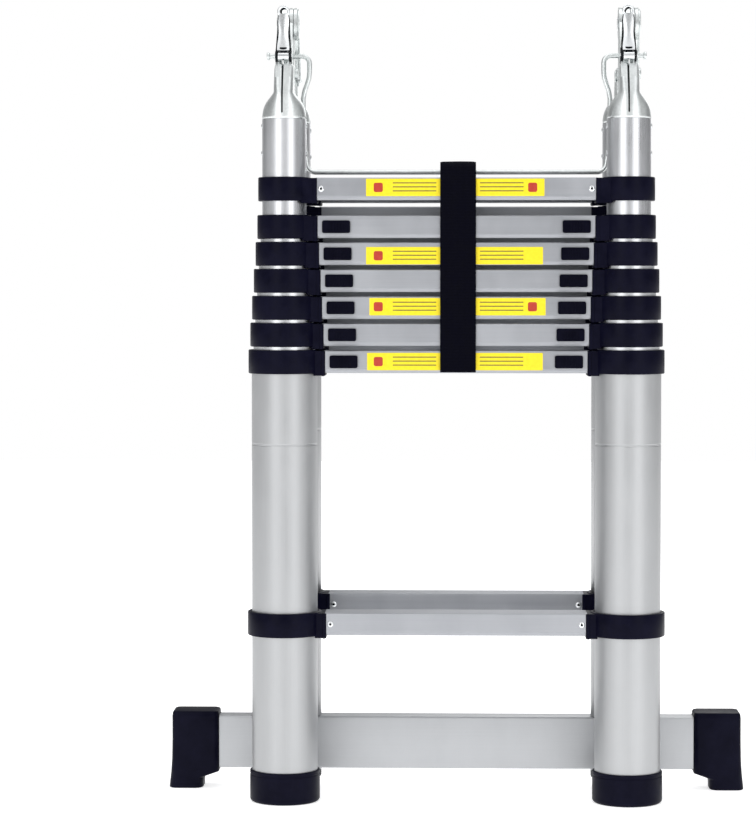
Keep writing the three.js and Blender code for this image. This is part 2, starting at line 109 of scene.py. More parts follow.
def rung_z(half, i):
    """The height of a rung's lower face, read from the frame: the sockets hang just below it."""
    low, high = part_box(section_node(half, i))
    if i == 1:
        return low.z / MM + SOCKET_DROP
    if i < SECTIONS:
        return high.z / MM - RUNG_HEIGHT - RING_LAP
    return high.z / MM - TOP_TUBE_ABOVE


# ---- camera, light and floor ----
CAMERA_AT = (0, -3246, 580)
CAMERA_AIM = (-86.8, -46, 473.4)
LENS = 126.7
SENSOR = 36
SHIFT_Y = -0.04
LIGHT_AIM = (0, 0, 0.45)  # metres, the ladder's middle
FLOOR_HALF = 6.0  # metres
FLOOR_GLOW = 0.62


def make_camera():
    """Level with the upper rungs, straight in front, a little over three metres away."""
    camera = bpy.data.objects.new("camera", bpy.data.cameras.new("camera"))
    bpy.context.collection.objects.link(camera)
    camera.location = Vector(CAMERA_AT) * MM
    aim = Vector(CAMERA_AIM) * MM
    camera.rotation_euler = (aim - camera.location).to_track_quat("-Z", "Y").to_euler()
    camera.data.lens = LENS
    camera.data.sensor_width = SENSOR
    camera.data.shift_y = SHIFT_Y
    camera.data.clip_end = 50
    bpy.context.scene.camera = camera


def make_world():
    """A white studio: brighter ahead and behind, darker to the sides, and plain white to the eye."""
    world = bpy.data.worlds.new("studio")
    bpy.context.scene.world = world
    world.use_nodes = True
    nodes, links = world.node_tree.nodes, world.node_tree.links
    background = nodes["Background"]
    coords = nodes.new("ShaderNodeTexCoord")
    split = nodes.new("ShaderNodeSeparateXYZ")
    links.new(coords.outputs["Generated"], split.inputs[0])
    side = nodes.new("ShaderNodeMath")
    side.operation = "ABSOLUTE"
    links.new(split.outputs["X"], side.inputs[0])
    ramp = nodes.new("ShaderNodeValToRGB")
    stops = ((0.0, 0.62), (0.16, 0.5), (0.34, 0.95), (0.62, 1.0), (0.8, 0.42), (1.0, 0.5))
    for k, (position, value) in enumerate(stops):
        stop = ramp.color_ramp.elements[k] if k < 2 else ramp.color_ramp.elements.new(position)
        stop.position = position
        stop.color = (value, value * 1.005, value * 1.015, 1)
    links.new(side.outputs[0], ramp.inputs[0])
    links.new(ramp.outputs[0], background.inputs["Color"])
    strength = nodes.new("ShaderNodeMath")
    strength.operation = "MULTIPLY"
    for k, (axis, limits) in enumerate((("Y", (0.0, 0.7, 0.76, 0.46)), ("Z", (0.3, 0.95, 1.0, 2.0)))):
        falloff = nodes.new("ShaderNodeMapRange")
        for socket, value in zip(("From Min", "From Max", "To Min", "To Max"), limits):
            falloff.inputs[socket].default_value = value
        links.new(split.outputs[axis], falloff.inputs["Value"])
        links.new(falloff.outputs["Result"], strength.inputs[k])
    links.new(strength.outputs[0], background.inputs["Strength"])
    plain = nodes.new("ShaderNodeBackground")
    plain.inputs["Color"].default_value = (1, 1, 1, 1)
    plain.inputs["Strength"].default_value = 1.0
    path = nodes.new("ShaderNodeLightPath")
    mix = nodes.new("ShaderNodeMixShader")
    links.new(path.outputs["Is Camera Ray"], mix.inputs[0])
    links.new(background.outputs[0], mix.inputs[1])
    links.new(plain.outputs[0], mix.inputs[2])
    links.new(mix.outputs[0], nodes["World Output"].inputs["Surface"])


def area_light(name, location, size, energy):
    """A soft box that faces the ladder's middle."""
    data = bpy.data.lights.new(name, "AREA")
    data.shape = "RECTANGLE"
    data.size, data.size_y = size
    data.energy = energy
    light = bpy.data.objects.new(name, data)
    bpy.context.collection.objects.link(light)
    light.location = location
    light.rotation_euler = (Vector(LIGHT_AIM) - light.location).to_track_quat("-Z", "Y").to_euler()


def make_studio():
    make_world()
    area_light("key", Vector((-1.5, -2.6, 1.4)), (1.6, 2.4), 15)
    area_light("fill", Vector((1.7, -2.3, 1.1)), (1.4, 2.4), 12)
    area_light("top", Vector((0.1, 0.2, 2.6)), (1.8, 1.4), 7)
    area_light("back", Vector((0.6, 2.6, 1.6)), (1.6, 1.6), 12)
    bpy.context.scene.view_settings.view_transform = "Standard"
    half = FLOOR_HALF
    corners = [(-half, -half, 0), (half, -half, 0), (half, half, 0), (-half, half, 0)]
    mesh = bpy.data.meshes.new("floor")
    mesh.from_pydata(corners, [], [(0, 1, 2, 3)])
    floor = bpy.data.objects.new("floor", mesh)
    bpy.context.collection.objects.link(floor)
    floor.data.materials.append(floor_material())


# ---- material helpers ----

class Shader:
    """A node material in a few calls."""

    def __init__(self, name, color, roughness, metallic=0.0):
        self.material = bpy.data.materials.new(name)
        self.material.use_nodes = True
        self.tree = self.material.node_tree
        self.bsdf = self.tree.nodes["Principled BSDF"]
        self.set("Base Color", (*color, 1))
        self.set("Roughness", roughness)
        self.set("Metallic", metallic)

    def set(self, socket, value):
        self.bsdf.inputs[socket].default_value = value

    def node(self, kind, **settings):
        node = self.tree.nodes.new("ShaderNode" + kind)
        for key, value in settings.items():
            setattr(node, key, value)
        return node

    def link(self, a, b):
        self.tree.links.new(a, b)

    def coords(self, scale=(1, 1, 1)):
        """The piece's own position in metres, stretched by scale."""
        coords = self.node("TexCoord")
        mapping = self.node("Mapping")
        mapping.inputs["Scale"].default_value = scale
        self.link(coords.outputs["Object"], mapping.inputs["Vector"])
        return mapping.outputs["Vector"]

    def noise(self, scale, stretch=(1, 1, 1), detail=4.0, rough=0.55):
        noise = self.node("TexNoise")
        noise.inputs["Scale"].default_value = scale
        noise.inputs["Detail"].default_value = detail
        noise.inputs["Roughness"].default_value = rough
        self.link(self.coords(stretch), noise.inputs["Vector"])
        return noise.outputs["Fac"]

    def cells(self, scale, stretch=(1, 1, 1)):
        voronoi = self.node("TexVoronoi")
        voronoi.inputs["Scale"].default_value = scale
        self.link(self.coords(stretch), voronoi.inputs["Vector"])
        return voronoi.outputs["Color"]

    def wave(self, scale, direction, distortion=0.0):
        wave = self.node("TexWave", bands_direction=direction)
        wave.inputs["Scale"].default_value = scale
        wave.inputs["Distortion"].default_value = distortion
        self.link(self.coords(), wave.inputs["Vector"])
        return wave.outputs["Fac"]

    def math(self, operation, a, b):
        node = self.node("Math", operation=operation)
        for k, value in enumerate((a, b)):
            if isinstance(value, (int, float)):
                node.inputs[k].default_value = value
            else:
                self.link(value, node.inputs[k])
        return node.outputs[0]

    def ramp(self, factor, low, high, start=0.3, end=0.7):
        """factor from start to end becomes a value or colour from low to high."""
        ramp = self.node("MapRange") if isinstance(low, (int, float)) else self.node("ValToRGB")
        if isinstance(low, (int, float)):
            for socket, value in (("From Min", start), ("From Max", end), ("To Min", low), ("To Max", high)):
                ramp.inputs[socket].default_value = value
            self.link(factor, ramp.inputs["Value"])
            return ramp.outputs["Result"]
        elements = ramp.color_ramp.elements
        elements[0].position, elements[1].position = start, end
        elements[0].color, elements[1].color = (*low, 1), (*high, 1)
        self.link(factor, ramp.inputs["Fac"])
        return ramp.outputs["Color"]

    def color(self, output):
        self.link(output, self.bsdf.inputs["Base Color"])

    def roughness(self, output):
        self.link(output, self.bsdf.inputs["Roughness"])

    def bump(self, height, strength, distance, normal=None):
        bump = self.node("Bump")
        bump.inputs["Strength"].default_value = strength
        bump.inputs["Distance"].default_value = distance
        self.link(height, bump.inputs["Height"])
        if normal is not None:
            self.link(normal, bump.inputs["Normal"])
        self.link(bump.outputs["Normal"], self.bsdf.inputs["Normal"])
        return bump.outputs["Normal"]


def floor_material():
    shader = Shader("floor_white", (0.93, 0.93, 0.93), 0.6)
    shader.color(shader.ramp(shader.noise(2.0), (0.925, 0.925, 0.925), (0.94, 0.94, 0.94)))
    shader.set("Emission Color", (1, 1, 1, 1))
    shader.set("Emission Strength", FLOOR_GLOW)
    return shader.material


def satin_aluminium(name, low, high, along, rough):
    """Drawn aluminium: fine lines along the length, faint smudges, and a soft satin gloss."""
    shader = Shader(name, high, rough, 1.0)
    lines = shader.noise(1.0, tuple(9 if axis == along else 1500 for axis in "XYZ"), 3.0, 0.6)
    smudges = shader.noise(14.0, (1, 1, 0.45), 5.0, 0.6)
    blend = shader.math("ADD", shader.math("MULTIPLY", lines, 0.3), shader.math("MULTIPLY", smudges, 0.7))
    shader.color(shader.ramp(blend, low, high, 0.38, 0.62))
    wear = shader.math("ADD", shader.math("MULTIPLY", smudges, 0.6), shader.math("MULTIPLY", lines, 0.4))
    shader.roughness(shader.ramp(wear, rough - 0.07, rough + 0.09, 0.35, 0.65))
    fine = shader.bump(lines, 0.035, 0.0001)
    scratches = shader.noise(3.0, tuple(4 if axis == along else 260 for axis in "XYZ"), 2.0, 0.9)
    shader.bump(scratches, 0.015, 0.0002, fine)
    return shader.material


def moulded_plastic(name, low, high, rough, specular, grain=2600.0):
    """Injection-moulded plastic: a fine spark-eroded grain with slightly polished, dusty patches."""
    shader = Shader(name, high, rough)
    patches = shader.noise(45.0, (1, 1, 1), 5.0, 0.65)
    shader.color(shader.ramp(patches, low, high, 0.35, 0.7))
    shader.roughness(shader.ramp(patches, rough - 0.08, rough + 0.1, 0.3, 0.7))
    shader.bump(shader.noise(grain, (1, 1, 1), 2.0, 0.5), 0.18, 0.0001)
    shader.set("Specular IOR Level", specular)
    return shader.material


def zinc_steel(name, low, high, rough):
    """Bright zinc plate: faint crystal patches and fine pressing marks."""
    shader = Shader(name, high, rough, 1.0)
    shader.color(shader.ramp(shader.cells(420.0), low, high, 0.1, 0.9))
    streaks = shader.noise(60.0, (1, 1, 0.35), 5.0, 0.6)
    shader.roughness(shader.ramp(streaks, rough - 0.06, rough + 0.14, 0.35, 0.68))
    shader.bump(streaks, 0.08, 0.0006)
    return shader.material


def woven_webbing():
    """Flat polyester webbing: ribs across, yarns along, and a soft sheen."""
    shader = Shader("webbing_black", (0.014, 0.015, 0.024), 0.75)
    ribs = shader.wave(190.0, "Z", 0.4)
    yarns = shader.wave(240.0, "X", 0.3)
    weave = shader.math("MULTIPLY", ribs, yarns)
    dust = shader.noise(90.0, (1, 1, 1), 4.0, 0.6)
    tone = shader.math("ADD", shader.math("MULTIPLY", weave, 0.7), shader.math("MULTIPLY", dust, 0.3))
    shader.color(shader.ramp(tone, (0.0008, 0.0008, 0.003), (0.004, 0.004, 0.011), 0.15, 0.8))
    shader.roughness(shader.ramp(dust, 0.66, 0.85))
    shader.bump(weave, 0.5, 0.0005)
    shader.set("Specular IOR Level", 0.04)
    shader.set("Sheen Weight", 0.01)
    return shader.material


def sticker(name, low, high):
    """A printed vinyl strip: semi-gloss, faintly uneven ink."""
    shader = Shader(name, high, 0.38)
    ink = shader.noise(260.0, (1, 1, 1), 4.0, 0.6)
    shader.color(shader.ramp(ink, low, high, 0.3, 0.7))
    shader.roughness(shader.ramp(ink, 0.32, 0.46))
    shader.bump(shader.noise(35.0, (1, 1, 1), 2.0, 0.5), 0.05, 0.0004)
    return shader.material


# ---- mesh helpers: a shape is (vertices in millimetres, faces) ----

def loft(loops, cap=True, closed=False):
    """Faces between loops of equal length, one after the other."""
    n = len(loops[0])
    verts = [Vector(p) for loop in loops for p in loop]
    faces = []
    spans = len(loops) if closed else len(loops) - 1
    for a in range(spans):
        b = (a + 1) % len(loops)
        for k in range(n):
            m = (k + 1) % n
            faces.append((a * n + k, a * n + m, b * n + m, b * n + k))
    if cap and not closed:
        faces.append(tuple(reversed(range(n))))
        faces.append(tuple(range((len(loops) - 1) * n, len(loops) * n)))
    return verts, faces


def circle(r, z=0.0, centre=(0, 0), count=ROUND):
    return [
        Vector((centre[0] + r * math.cos(t), centre[1] + r * math.sin(t), z))
        for t in (2 * math.pi * k / count for k in range(count))
    ]


def turned(profile, centre=(0, 0), count=ROUND, hollow=True):
    """A profile of (radius, height) pairs turned about the vertical axis through centre."""
    return loft([circle(r, z, centre, count) for r, z in profile], cap=not hollow, closed=hollow)


def arc(u, v, r, start, end, steps):
    """Points along an arc, angles in degrees."""
    angles = (math.radians(start + (end - start) * k / steps) for k in range(steps + 1))
    return [(u + r * math.cos(t), v + r * math.sin(t)) for t in angles]


def rounded(u0, u1, v0, v1, r, steps=6):
    """A rectangle with round corners, anticlockwise."""
    corners = ((u1 - r, v0 + r, -90), (u1 - r, v1 - r, 0), (u0 + r, v1 - r, 90), (u0 + r, v0 + r, 180))
    return [p for u, v, start in corners for p in arc(u, v, r, start, start + 90, steps)]


def prism(outline, axis, low, high):
    """An outline made solid along an axis: (y, z) pairs along X, (x, z) along Y, (x, y) along Z."""
    def point(u, v, w):
        return {"X": (w, u, v), "Y": (u, w, v), "Z": (u, v, w)}[axis]
    return loft([[point(u, v, w) for u, v in outline] for w in (low, high)])


def moved(shape, matrix):
    return [matrix @ v for v in shape[0]], shape[1]


def shifted(shape, offset):
    return moved(shape, Matrix.Translation(Vector(offset)))


def joined(*shapes):
    verts, faces = [], []
    for shape_verts, shape_faces in shapes:
        base = len(verts)
        verts += shape_verts
        faces += [tuple(base + k for k in face) for face in shape_faces]
    return verts, faces


def mesh_of(name, shape):
    """A mesh in metres with its faces outward, smooth but for its sharp edges."""
    mesh = bpy.data.meshes.new(name)
    bm = bmesh.new()
    verts = [bm.verts.new(v * MM) for v in shape[0]]
    for face in shape[1]:
        bm.faces.new([verts[k] for k in face])
    bmesh.ops.recalc_face_normals(bm, faces=bm.faces)
    for face in bm.faces:
        face.smooth = True
    for edge in bm.edges:
        if len(edge.link_faces) == 2 and edge.calc_face_angle(0.0) > math.radians(SHARP_ANGLE):
            edge.smooth = False
    bm.to_mesh(mesh)
    bm.free()
    return mesh


def piece(name, shape, material, body, nodes=(), bevel=0.0, segments=2, cutters=()):
    """A finished piece: cut, bevelled, painted, riding on its body and standing for its nodes."""
    obj = bpy.data.objects.new(name, mesh_of(name, shape))
    bpy.context.collection.objects.link(obj)
    obj.data.materials.append(material)
    for k, cutter in enumerate(cutters):
        cut_out(obj, cutter, f"{name}_cut_{k}")
    if bevel:
        modifier = obj.modifiers.new("bevel", "BEVEL")
        modifier.width = bevel * MM
        modifier.segments = segments
        modifier.limit_method = "ANGLE"
        modifier.angle_limit = math.radians(SHARP_ANGLE)
        modifier.harden_normals = True
        modifier.use_clamp_overlap = True
    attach(obj, body)
    if nodes:
        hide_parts(*nodes)
    return obj


def cut_out(obj, shape, name):
    """Cuts a shape out of a piece, as a finished mesh."""
    tool = bpy.data.objects.new(name, mesh_of(name, shape))
    bpy.context.collection.objects.link(tool)
    modifier = obj.modifiers.new("cut", "BOOLEAN")
    modifier.object = tool
    modifier.solver = "EXACT"
    bpy.context.view_layer.update()
    evaluated = obj.evaluated_get(bpy.context.evaluated_depsgraph_get())
    result = bpy.data.meshes.new_from_object(evaluated)
    obj.modifiers.remove(modifier)
    obj.data = result
    bpy.data.objects.remove(tool)
    for face in result.polygons:
        face.use_smooth = True


def half_matrix(half):
    """From a half's own axes to the row frame, in millimetres. The rear half is turned right round."""
    if half == "front":
        return Matrix.Translation((0, -HALF_OFFSET, 0))
    return Matrix.Translation((0, HALF_OFFSET, 0)) @ Matrix.Rotation(math.pi, 4, "Z")


def end_name(half, side):
    return "left" if (side < 0) == (half == "front") else "right"


# ---- materials ----
INNER_TUBE = satin_aluminium("inner_tube_satin", (0.66, 0.67, 0.69), (0.72, 0.73, 0.75), "Z", 0.31)
OUTER_TUBE = satin_aluminium("outer_tube_satin", (0.455, 0.462, 0.47), (0.515, 0.522, 0.53), "Z", 0.47)
RUNG = satin_aluminium("rung_satin", (0.385, 0.395, 0.42), (0.44, 0.45, 0.475), "X", 0.4)
BAR_METAL = satin_aluminium("bar_satin", (0.47, 0.48, 0.495), (0.53, 0.54, 0.555), "X", 0.46)
PLASTIC = moulded_plastic("collar_black", (0.0022, 0.0022, 0.009), (0.0045, 0.0045, 0.015), 0.36, 0.06)
BUTTON = moulded_plastic("button_black", (0.0015, 0.0015, 0.006), (0.003, 0.003, 0.010), 0.34, 0.05, 3400.0)
FOOT_RUBBER = moulded_plastic("foot_black", (0.0022, 0.0022, 0.009), (0.005, 0.005, 0.015), 0.4, 0.06, 1900.0)
ZINC = zinc_steel("zinc_bright", (0.72, 0.75, 0.745), (0.80, 0.83, 0.825), 0.34)
CHROME = zinc_steel("lever_chrome", (0.77, 0.79, 0.80), (0.82, 0.84, 0.85), 0.26)
# Painted shade: a near-black zinc material laid in the seams, the rivet holes and the hollows round the
# release lever, where shade falls.
PAINTED_SHADE = zinc_steel("painted_shade_dark", (0.010, 0.012, 0.014), (0.022, 0.025, 0.028), 0.6)
WEBBING = woven_webbing()
YELLOW = sticker("label_yellow", (0.90, 0.70, 0.008), (0.96, 0.77, 0.014))
LABEL_RED = sticker("label_red", (0.42, 0.03, 0.015), (0.52, 0.045, 0.02))
LABEL_INK = sticker("label_ink", (0.10, 0.085, 0.03), (0.16, 0.13, 0.04))


# ---- stiles, collars and rungs ----

def tube_shape(i, side, low, high):
    """A drawn tube with its lips just broken."""
    r = tube_r(i)
    bore = r - TUBE_WALL
    profile = [(bore, low), (r - 0.3, low), (r, low + 0.3), (r, high - 0.3), (r - 0.3, high), (bore, high)]
    return turned(profile, (side * STILE_X, 0))


def grooved_tube(side, low, high, groove):
    """An outermost tube with a rolled ring part of the way up."""
    r = tube_r(1)
    bore = r - TUBE_WALL
    ring = [
        (r, groove - 1.6), (r, groove - 1.2), (r - 0.3, groove - 0.6), (r, groove),
        (r - 0.3, groove + 0.6), (r, groove + 1.2), (r, groove + 1.6),
    ]
    profile = [
        (bore, low), (r - 0.3, low), (r, low + 0.3), *ring,
        (r, high - 0.3), (r - 0.3, high), (bore, high),
    ]
    return turned(profile, (side * STILE_X, 0))


def ring_shape(outer, bore, z, side):
    """A moulded ring, barrelled a little, with rounded lips."""
    low, top = z - RING_LAP, z + RUNG_HEIGHT + RING_LAP
    profile = [
        (bore, low), (outer - 0.9, low), (outer - 0.3, low + 0.25), (outer - 0.05, low + 0.9),
        (outer, (low + top) / 2), (outer - 0.05, top - 0.9), (outer - 0.3, top - 0.25), (outer - 0.9, top),
        (bore, top),
    ]
    return turned(profile, (side * STILE_X, 0))


def socket_shape(half_length, z, outer, side):
    """The block between a ring and a rung's end, its far side following the ring."""
    depth = SOCKET_HALF_DEPTH
    inner = outer - RING_WALL / 2
    angle = math.degrees(math.asin(depth / inner))
    far = arc(STILE_X, 0, inner, 180 - angle, 180 + angle, 12)
    near = [(half_length - 1.6, -depth), (half_length - 1.6, depth)]
    outline = [(side * x, y) for x, y in [*near, *far]]
    return prism(outline, "Z", z - SOCKET_DROP, z + RUNG_HEIGHT - 0.4)


def socket_lip(half_length, z, side):
    """A raised frame round the rung's end, moulded on the socket."""
    x = sorted((side * (half_length - 0.6), side * (half_length + 2.6)))
    depth = SOCKET_HALF_DEPTH + 0.9
    return prism([(-depth, z - SOCKET_DROP - 0.4), (depth, z - SOCKET_DROP - 0.4),
                  (depth, z + RUNG_HEIGHT - 1.2), (-depth, z + RUNG_HEIGHT - 1.2)], "X", *x)


def rung_outline(z):
    """The rung's section: a plain face, a bevelled lower lip, and a grooved tread."""
    y, top = RUNG_DEPTH / 2, z + RUNG_HEIGHT
    tread = []
    grooves = 6
    for k in range(grooves):
        middle = y - 5.5 - k * (2 * y - 11) / (grooves - 1)
        tread += [(middle + 1.2, top), (middle + 0.8, top - 0.7)]
        tread += [(middle - 0.8, top - 0.7), (middle - 1.2, top)]
    front = [(-y + 0.9, top), (-y, top - 0.9), (-y, z + 4.2), (-y + 0.5, z + 3.7), (-y + 0.2, z + 3.3)]
    return [(-y + 2.4, z), (y - 2.4, z), (y - 0.2, z + 3.3), (y - 0.5, z + 3.7), (y, z + 4.2), (y, top - 0.9),
            (y - 0.9, top), *tread, *front]


def rung_shape(half_length, z):
    return prism(rung_outline(z), "X", -half_length, half_length)


def rivet_shape(r, height, at, axis):
    """A domed rivet head on a thin collar, its axis along one of the row's axes."""
    profile = [
        (0.01, 0), (r, 0), (r, height * 0.3), (r * 0.86, height * 0.62), (r * 0.55, height * 0.9),
        (0.01, height),
    ]
    dome = turned(profile, (0, 0), 24, hollow=False)
    turn = {"-Y": Matrix.Rotation(math.pi / 2, 4, "X"), "Y": Matrix.Rotation(-math.pi / 2, 4, "X"),
            "X": Matrix.Rotation(math.pi / 2, 4, "Y"),
            "-X": Matrix.Rotation(-math.pi / 2, 4, "Y"), "-Z": Matrix.Rotation(math.pi, 4, "X")}[axis]
    return moved(dome, Matrix.Translation(at) @ turn)


def make_collars(half, body, node, name, z, outer, bore, half_length, place):
    for side in SIDES:
        end = end_name(half, side)
        shape = joined(ring_shape(outer, bore, z, side), socket_shape(half_length, z, outer, side),
                       socket_lip(half_length, z, side))
        piece(f"{half}_{name}_{end}", moved(shape, place), PLASTIC, body, (node,), 0.6)


def make_rung_rivets(half, body, name, z, half_length, place):
    """The blind rivets near each end of a rung that has no latch, on both its faces, each with a near-black
    disc on its head as painted shade in its mandrel hole.
    """
    for side in SIDES:
        x, middle = side * (half_length - 6), z + RUNG_HEIGHT / 2
        heads, bore_shades = [], []
        for face, axis, step in ((-RUNG_DEPTH / 2, "-Y", -1.42), (RUNG_DEPTH / 2, "Y", 1.42)):
            heads.append(rivet_shape(3.3, 1.4, Vector((x, face, middle)), axis))
            # Painted shade: a near-black disc out on each head, for the shade in the rivet's mandrel hole.
            bore_shades.append(rivet_shape(1.35, 0.3, Vector((x, face + step, middle)), axis))
        end = end_name(half, side)
        piece(f"{half}_{name}_rivet_{end}", moved(joined(*heads), place), CHROME, body)
        piece(f"{half}_{name}_rivet_bore_{end}", moved(joined(*bore_shades), place), PAINTED_SHADE, body)


def make_label(half, i, z, place):
    """A plain yellow strip with a plain red mark and ruled lines in place of print."""
    body, name = f"{half}_s{i}", f"rung_{i}"
    face = -RUNG_DEPTH / 2
    left, right, foot, flip = LABELS[i]
    low, high = z + foot, z + foot + LABEL_HEIGHT
    strip = prism(rounded(left, right, low, high, 0.8, 2), "Y", face - 0.3, face + 0.2)
    piece(f"{half}_{name}_label", moved(strip, place), YELLOW, body)
    marks = [-86] + ([84] if flip else [])
    for k, x in enumerate(marks):
        mark = prism(rounded(x - 5, x + 5, low + 4.5, high - 4.5, 2, 3), "Y", face - 0.42, face - 0.2)
        piece(f"{half}_{name}_mark_{k}", moved(mark, place), LABEL_RED, body)
    for k in range(3):
        line_z = high - 5.2 - 4.4 * k
        for j, (x0, x1) in enumerate(((-70, -22), (26, 74))):
            line = prism([(x0, line_z), (x1, line_z), (x1, line_z + 1.1), (x0, line_z + 1.1)], "Y",
                         face - 0.42, face - 0.2)
            piece(f"{half}_{name}_rule_{k}_{j}", moved(line, place), LABEL_INK, body)


def make_button(half, i, side, z, place):
    """A latch button: a flat cap with grip ribs, on its stem and pin."""
    length, height, proud = BUTTON_CAP["length"], BUTTON_CAP["height"], BUTTON_CAP["proud"]
    outer_end = rung_half(i) - BUTTON_CAP["from_end"]
    x0, x1 = sorted((side * outer_end, side * (outer_end - length)))
    middle = z + RUNG_HEIGHT / 2
    face = -RUNG_DEPTH / 2
    outline = rounded(x0, x1, middle - height / 2, middle + height / 2, 2, 4)
    cap = prism(outline, "Y", face - 0.3 - proud, face - 0.3)
    ribs = []
    for k in range(5):
        x = side * (outer_end - 9 - 3.2 * k)
        rib = rounded(x - 0.7, x + 0.7, middle - 4.4, middle + 4.4, 0.65, 3)
        ribs.append(prism(rib, "Y", face - proud - 0.75, face - 1))
    stem_out = rung_half(i) - STEM_FROM_END
    s0, s1 = sorted((side * stem_out, side * (stem_out - STEM_LENGTH)))
    z0, z1 = middle - STEM_HALF_HEIGHT, middle + STEM_HALF_HEIGHT
    stem = prism([(s0, z0), (s1, z0), (s1, z1), (s0, z1)], "Y", face - 1, 4)
    tip = STILE_X - tube_r(i + 1) - PIN_TIP_GAP
    p0, p1 = sorted((side * (stem_out - 1), side * tip))
    pin = moved(prism(arc(0, 0, LATCH_PIN_R, 0, 345, 23), "Z", p0, p1),
                Matrix.Translation((0, 0, middle)) @ Matrix.Rotation(math.pi / 2, 4, "Y"))
    name = f"{half}_button_{i}_{end_name(half, side)}"
    shape = moved(joined(cap, stem, pin, *ribs), place)
    piece(f"{name}_moulding", shape, BUTTON, name, (name,), 0.5)


def make_half(half):
    place = half_matrix(half)
    lift = REAR_LIFT if half == "rear" else 0
    first = rung_z(half, 1)
    top_of = {i: rung_z(half, i) + RUNG_HEIGHT + RING_LAP for i in range(1, SECTIONS + 1)}
    for side in SIDES:
        end = end_name(half, side)
        node = f"{half}_tube_1_{end}"
        low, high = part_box(node)
        shape = grooved_tube(side, low.z / MM, high.z / MM, ROLLED_RING_Z + lift)
        cutters = []
        if half == "rear":
            window = prism([(-15.3, 22.7), (15.3, 22.7), (15.3, 82.8), (-15.3, 82.8)], "X", -60, 60)
            cutters.append(moved(shifted(window, (side * STILE_X, 0, 0)), place))
        piece(f"{half}_outer_tube_{end}", moved(shape, place), OUTER_TUBE, f"{half}_s1", (node,),
              cutters=cutters)
        for i in range(1, SECTIONS):
            make_button(half, i, side, rung_z(half, i), place)
    body = f"{half}_s1"
    make_collars(half, body, f"{half}_rung_1", "collar_1", first, ring_r(1), tube_r(1) + FIT, rung_half(1),
                 place)
    piece(f"{half}_rung_1_extrusion", moved(rung_shape(rung_half(1), first), place), RUNG, body,
          (f"{half}_rung_1",), 0.25)
    make_label(half, 1, first, place)
    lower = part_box(f"{half}_lower_rung")[0].z / MM + SOCKET_DROP
    make_collars(half, body, f"{half}_lower_rung", "lower_clamp", lower, tube_r(1) + LOWER_RING_WALL,
                 tube_r(1) + FIT, LOWER_RUNG_HALF, place)
    piece(f"{half}_lower_rung_extrusion", moved(rung_shape(LOWER_RUNG_HALF, lower), place), RUNG, body,
          (f"{half}_lower_rung",), 0.25)
    make_rung_rivets(half, body, "lower_rung", lower, LOWER_RUNG_HALF, place)
    for i in range(2, SECTIONS + 1):
        body = f"{half}_s{i}"
        node = f"{half}_section_{i}"
        z = rung_z(half, i)
        low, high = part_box(node)
        for side in SIDES:
            tube_top = high.z / MM if i == SECTIONS else top_of[i] - 1
            piece(f"{half}_tube_{i}_{end_name(half, side)}",
                  moved(tube_shape(i, side, low.z / MM, tube_top), place), INNER_TUBE, body,
                  (node,))
        make_collars(half, body, node, f"collar_{i}", z, ring_r(i), tube_r(i) + 0.02, rung_half(i), place)
        piece(f"{half}_rung_{i}_extrusion", moved(rung_shape(rung_half(i), z), place), RUNG, body,
              (node,), 0.25)
        if i in LABELS:
            make_label(half, i, z, place)
    make_rung_rivets(half, f"{half}_s{SECTIONS}", "top_rung", rung_z(half, SECTIONS), rung_half(SECTIONS),
                     place)


# ---- feet and stabiliser ----

def make_front_cap(side):
    """The moulded cap over a front stile's foot, with a turned-in sole and a grooved lip."""
    r, bore, height = FRONT_CAP_R, tube_r(1) + FIT, FRONT_CAP_HEIGHT
    sole = arc(r - 4, 4, 4, -90, 0, 9)
    profile = [(0.01, 0), *sole, (r, height - 5.8), (r - 0.5, height - 5.2), (r - 0.5, height - 4.2),
               (r, height - 3.6), (r, height - 0.8), (r - 0.8, height), (bore, height), (bore, 3), (0.01, 3)]
    shape = moved(turned(profile, (side * STILE_X, 0)), half_matrix("front"))
    end = end_name("front", side)
    piece(f"front_foot_cap_{end}", shape, FOOT_RUBBER, "front_s1", (f"front_cap_{end}",))


def make_rear_plug(side):
    r, spigot = tube_r(1), tube_r(1) - TUBE_WALL - FIT
    profile = [
        (0.01, 12), (r - 2, 12), (r - 0.6, 12.5), (r, 14), (r, 20), (spigot, 20), (spigot, 22.4),
        (0.01, 22.4),
    ]
    shape = moved(turned(profile, (side * STILE_X, 0)), half_matrix("rear"))
    end = end_name("rear", side)
    piece(f"rear_foot_plug_{end}", shape, FOOT_RUBBER, "rear_s1", (f"rear_cap_{end}",))


def make_stabiliser():
    low, high = (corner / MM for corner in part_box("stabiliser_bar"))
    outer = rounded(low.y, high.y, low.z, high.z, 2.2, 5)
    inner = rounded(low.y + 2, high.y - 2, low.z + 2, high.z - 2, 1.2, 5)
    loops = [[(x, y, z) for y, z in outline] for outline, x in
             ((outer, low.x), (outer, high.x), (inner, high.x), (inner, low.x))]
    piece("stabiliser_beam", loft(loops, closed=True), BAR_METAL, "rear_s1", ("stabiliser_bar",))
    for side in SIDES:
        make_stabiliser_foot(side)


